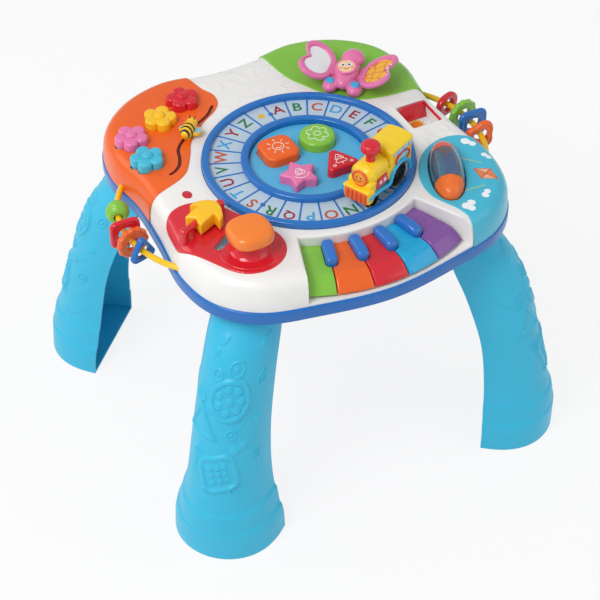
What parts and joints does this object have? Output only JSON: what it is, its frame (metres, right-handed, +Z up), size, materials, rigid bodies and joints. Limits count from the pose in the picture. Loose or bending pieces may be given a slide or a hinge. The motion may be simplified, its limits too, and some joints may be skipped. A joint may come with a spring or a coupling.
{
  "type": "musical activity table",
  "caption": "Low play table on splayed legs with a letter dial and train, keys, press buttons, sliders, a knob, a clear roller, a flap, winged figure and side bead loops",
  "frame": {"origin": "on the floor below the middle of the whole table", "axes": "+Z up from the floor to the tabletop, -Y towards the keyboard side, +X to the right of a child at the keys"},
  "size_m": [0.5938, 0.549, 0.4964],
  "materials": {
    "tray_blue": "moulded, satin",
    "shell_white": "moulded, glossy",
    "orange": "moulded, glossy",
    "green": "moulded, glossy",
    "turquoise": "moulded, glossy",
    "red": "moulded, glossy",
    "dial_blue": "moulded rims with printed cells",
    "sky_blue": "moulded, satin",
    "pink": "moulded, glossy",
    "yellow": "moulded, glossy",
    "key_cyan": "moulded, glossy",
    "key_purple": "moulded, glossy",
    "picture_print": "printed disc",
    "clear": "clear moulded plastic",
    "lens_red": "translucent tinted plastic",
    "mirror": "safety mirror film",
    "grille_orange": "moulded, glossy",
    "wheel_black": "moulded, satin",
    "leg_blue": "moulded, satin with a raised pattern",
    "speaker_dark": "speaker basket and cone"
  },
  "bodies": {
    "table": {"base_tray": "tray_blue", "top_shell": "shell_white", "orange_cover": "orange", "green_cover": "green", "aqua_cover": "turquoise", "red_panel": "red", "dial_ring": "dial_blue", "centre_disc": "sky_blue", "panel_window": "clear", "indicator_lens": "lens_red", "figure_body": "pink", "loop_rod_left": "yellow", "loop_rod_right": "yellow", "leg_front_left": "leg_blue", "leg_front_right": "leg_blue", "leg_rear_right": "leg_blue", "leg_rear_left": "leg_blue", "battery_door": "tray_blue", "speaker": "speaker_dark"},
    "square_button": {"square_button": "orange"},
    "circle_button": {"circle_button": "green"},
    "star_button": {"star_button": "pink"},
    "triangle_button": {"triangle_button": "red"},
    "flower_button_red": {"flower_button_red": "red"},
    "flower_button_yellow": {"flower_button_yellow": "yellow"},
    "flower_button_pink": {"flower_button_pink": "pink"},
    "flower_button_aqua": {"flower_button_aqua": "turquoise"},
    "slot_slider": {"slot_slider": "yellow"},
    "key_green": {"key_green": "green"},
    "key_orange": {"key_orange": "orange"},
    "key_red": {"key_red": "red"},
    "key_cyan": {"key_cyan": "key_cyan"},
    "key_purple": {"key_purple": "key_purple"},
    "small_key_1": {"small_key_1": "dial_blue"},
    "small_key_2": {"small_key_2": "dial_blue"},
    "small_key_3": {"small_key_3": "dial_blue"},
    "small_key_4": {"small_key_4": "dial_blue"},
    "arrow_slider": {"arrow_slider": "yellow"},
    "knob": {"orange_knob": "orange", "picture_disc": "picture_print"},
    "roller": {"roller_barrel": "clear", "roller_caps": "orange"},
    "flap": {"peek_flap": "red"},
    "wing_left": {"wing_left": "pink", "wing_mirror": "mirror"},
    "wing_right": {"wing_right": "pink"},
    "train": {"train_body": "yellow", "train_chassis": "sky_blue", "train_chimney": "red", "train_grille": "grille_orange"},
    "front_wheels": {"train_front_wheels": "wheel_black"},
    "rear_wheels": {"train_rear_wheels": "wheel_black"},
    "left_bead_green": {"left_bead_green": "green"},
    "left_bead_red": {"left_bead_red": "red"},
    "left_bead_orange": {"left_bead_orange": "orange"},
    "left_bead_blue": {"left_bead_blue": "dial_blue"},
    "right_bead_red": {"right_bead_red": "red"},
    "right_bead_green": {"right_bead_green": "green"},
    "right_bead_blue": {"right_bead_blue": "dial_blue"},
    "right_bead_orange": {"right_bead_orange": "orange"}
  },
  "joints": [
    {"name": "press_square_button", "type": "slide", "parent": "table", "child": "square_button", "axis": [0, 0, -1], "range_m": [0, 0.003], "stiffness_N_per_m": 400, "springref_m": -0.003},
    {"name": "press_circle_button", "type": "slide", "parent": "table", "child": "circle_button", "axis": [0, 0, -1], "range_m": [0, 0.003], "stiffness_N_per_m": 400, "springref_m": -0.003},
    {"name": "press_star_button", "type": "slide", "parent": "table", "child": "star_button", "axis": [0, 0, -1], "range_m": [0, 0.003], "stiffness_N_per_m": 400, "springref_m": -0.003},
    {"name": "press_triangle_button", "type": "slide", "parent": "table", "child": "triangle_button", "axis": [0, 0, -1], "range_m": [0, 0.003], "stiffness_N_per_m": 400, "springref_m": -0.003},
    {"name": "press_flower_button_red", "type": "slide", "parent": "table", "child": "flower_button_red", "axis": [0, 0, -1], "range_m": [0, 0.003], "stiffness_N_per_m": 400, "springref_m": -0.003},
    {"name": "press_flower_button_yellow", "type": "slide", "parent": "table", "child": "flower_button_yellow", "axis": [0, 0, -1], "range_m": [0, 0.003], "stiffness_N_per_m": 400, "springref_m": -0.003},
    {"name": "press_flower_button_pink", "type": "slide", "parent": "table", "child": "flower_button_pink", "axis": [0, 0, -1], "range_m": [0, 0.003], "stiffness_N_per_m": 400, "springref_m": -0.003},
    {"name": "press_flower_button_aqua", "type": "slide", "parent": "table", "child": "flower_button_aqua", "axis": [0, 0, -1], "range_m": [0, 0.003], "stiffness_N_per_m": 400, "springref_m": -0.003},
    {"name": "slide_along_slot", "type": "slide", "parent": "table", "child": "slot_slider", "axis": [0.72, 0.694, 0], "range_m": [-0.05, 0.046]},
    {"name": "press_key_green", "type": "hinge", "parent": "table", "child": "key_green", "pos_m": [-0.0679, -0.16203, 0.376], "axis": [0.9245, -0.3811, 0], "range_deg": [0, 2.2], "stiffness_Nm_per_rad": 0.3, "springref_deg": -8.59},
    {"name": "press_key_orange", "type": "hinge", "parent": "table", "child": "key_orange", "pos_m": [-0.03464, -0.17207, 0.376], "axis": [0.981, -0.1942, 0], "range_deg": [0, 2.2], "stiffness_Nm_per_rad": 0.3, "springref_deg": -8.59},
    {"name": "press_key_red", "type": "hinge", "parent": "table", "child": "key_red", "pos_m": [-0.00007, -0.17546, 0.376], "axis": [1, 0, 0], "range_deg": [0, 2.2], "stiffness_Nm_per_rad": 0.3, "springref_deg": -8.59},
    {"name": "press_key_cyan", "type": "hinge", "parent": "table", "child": "key_cyan", "pos_m": [0.03451, -0.17207, 0.376], "axis": [0.981, 0.1942, 0], "range_deg": [0, 2.2], "stiffness_Nm_per_rad": 0.3, "springref_deg": -8.59},
    {"name": "press_key_purple", "type": "hinge", "parent": "table", "child": "key_purple", "pos_m": [0.06776, -0.16203, 0.376], "axis": [0.9245, 0.3811, 0], "range_deg": [0, 2.2], "stiffness_Nm_per_rad": 0.3, "springref_deg": -8.59},
    {"name": "press_small_key_1", "type": "hinge", "parent": "table", "child": "small_key_1", "pos_m": [-0.05151, -0.16787, 0.376], "axis": [0.9573, -0.289, 0], "range_deg": [0, 3], "stiffness_Nm_per_rad": 0.1, "springref_deg": -8.59},
    {"name": "press_small_key_2", "type": "hinge", "parent": "table", "child": "small_key_2", "pos_m": [-0.01744, -0.17461, 0.376], "axis": [0.9952, -0.0976, 0], "range_deg": [0, 3], "stiffness_Nm_per_rad": 0.1, "springref_deg": -8.59},
    {"name": "press_small_key_3", "type": "hinge", "parent": "table", "child": "small_key_3", "pos_m": [0.0173, -0.17461, 0.376], "axis": [0.9952, 0.0976, 0], "range_deg": [0, 3], "stiffness_Nm_per_rad": 0.1, "springref_deg": -8.59},
    {"name": "press_small_key_4", "type": "hinge", "parent": "table", "child": "small_key_4", "pos_m": [0.05138, -0.16787, 0.376], "axis": [0.9573, 0.289, 0], "range_deg": [0, 3], "stiffness_Nm_per_rad": 0.1, "springref_deg": -8.59},
    {"name": "slide_arrow", "type": "slide", "parent": "table", "child": "arrow_slider", "axis": [0.9064, 0.4223, 0], "range_m": [-0.01, 0]},
    {"name": "turn_knob", "type": "hinge", "parent": "table", "child": "knob", "pos_m": [-0.14708, -0.14643, 0.41], "axis": [0, 0, 1], "continuous": true},
    {"name": "spin_roller", "type": "hinge", "parent": "table", "child": "roller", "pos_m": [0.14489, -0.12987, 0.413], "axis": [0.4003, 0.9164, 0], "continuous": true},
    {"name": "fold_flap", "type": "hinge", "parent": "table", "child": "flap", "pos_m": [0.17741, 0.01576, 0.3875], "axis": [1, 0, 0], "range_deg": [0, 84]},
    {"name": "flap_wing_left", "type": "hinge", "parent": "table", "child": "wing_left", "pos_m": [0.11256, 0.11665, 0.4258], "axis": [0.7074, 0.7068, 0], "range_deg": [-18, 32]},
    {"name": "flap_wing_right", "type": "hinge", "parent": "table", "child": "wing_right", "pos_m": [0.13914, 0.09005, 0.4258], "axis": [-0.7074, -0.7068, 0], "range_deg": [-18, 32]},
    {"name": "run_train", "type": "hinge", "parent": "table", "child": "train", "pos_m": [-0.00007, -0.02246, 0.41], "axis": [0, 0, 1], "continuous": true},
    {"name": "roll_front_wheels", "type": "hinge", "parent": "train", "child": "front_wheels", "pos_m": [0.02258, -0.12935, 0.4199], "axis": [0.4384, -0.8988, 0], "continuous": true},
    {"name": "roll_rear_wheels", "type": "hinge", "parent": "train", "child": "rear_wheels", "pos_m": [0.07022, -0.10612, 0.4279], "axis": [0.4384, -0.8988, 0], "continuous": true},
    {"name": "spin_left_bead_green", "type": "hinge", "parent": "table", "child": "left_bead_green", "pos_m": [-0.24839, 0.03562, 0.374], "axis": [0.3288, 0.9444, 0], "continuous": true},
    {"name": "spin_left_bead_red", "type": "hinge", "parent": "table", "child": "left_bead_red", "pos_m": [-0.25611, -0.00621, 0.374], "axis": [0.03, 0.9996, 0], "continuous": true},
    {"name": "spin_left_bead_orange", "type": "hinge", "parent": "table", "child": "left_bead_orange", "pos_m": [-0.25513, -0.02745, 0.374], "axis": [-0.1217, 0.9926, 0], "continuous": true},
    {"name": "spin_left_bead_blue", "type": "hinge", "parent": "table", "child": "left_bead_blue", "pos_m": [-0.25095, -0.04829, 0.374], "axis": [-0.2706, 0.9627, 0], "continuous": true},
    {"name": "spin_right_bead_red", "type": "hinge", "parent": "table", "child": "right_bead_red", "pos_m": [0.24706, 0.03891, 0.374], "axis": [-0.3523, 0.9359, 0], "continuous": true},
    {"name": "spin_right_bead_green", "type": "hinge", "parent": "table", "child": "right_bead_green", "pos_m": [0.25467, 0.00913, 0.374], "axis": [-0.1395, 0.9902, 0], "continuous": true},
    {"name": "spin_right_bead_blue", "type": "hinge", "parent": "table", "child": "right_bead_blue", "pos_m": [0.25597, -0.01461, 0.374], "axis": [0.03, 0.9996, 0], "continuous": true},
    {"name": "spin_right_bead_orange", "type": "hinge", "parent": "table", "child": "right_bead_orange", "pos_m": [0.25266, -0.04096, 0.374], "axis": [0.2182, 0.9759, 0], "continuous": true}
  ],
  "couplings": [
    {"joint": "roll_front_wheels", "follows": "run_train", "ratio": -11.778},
    {"joint": "roll_rear_wheels", "follows": "run_train", "ratio": -6.2353}
  ]
}
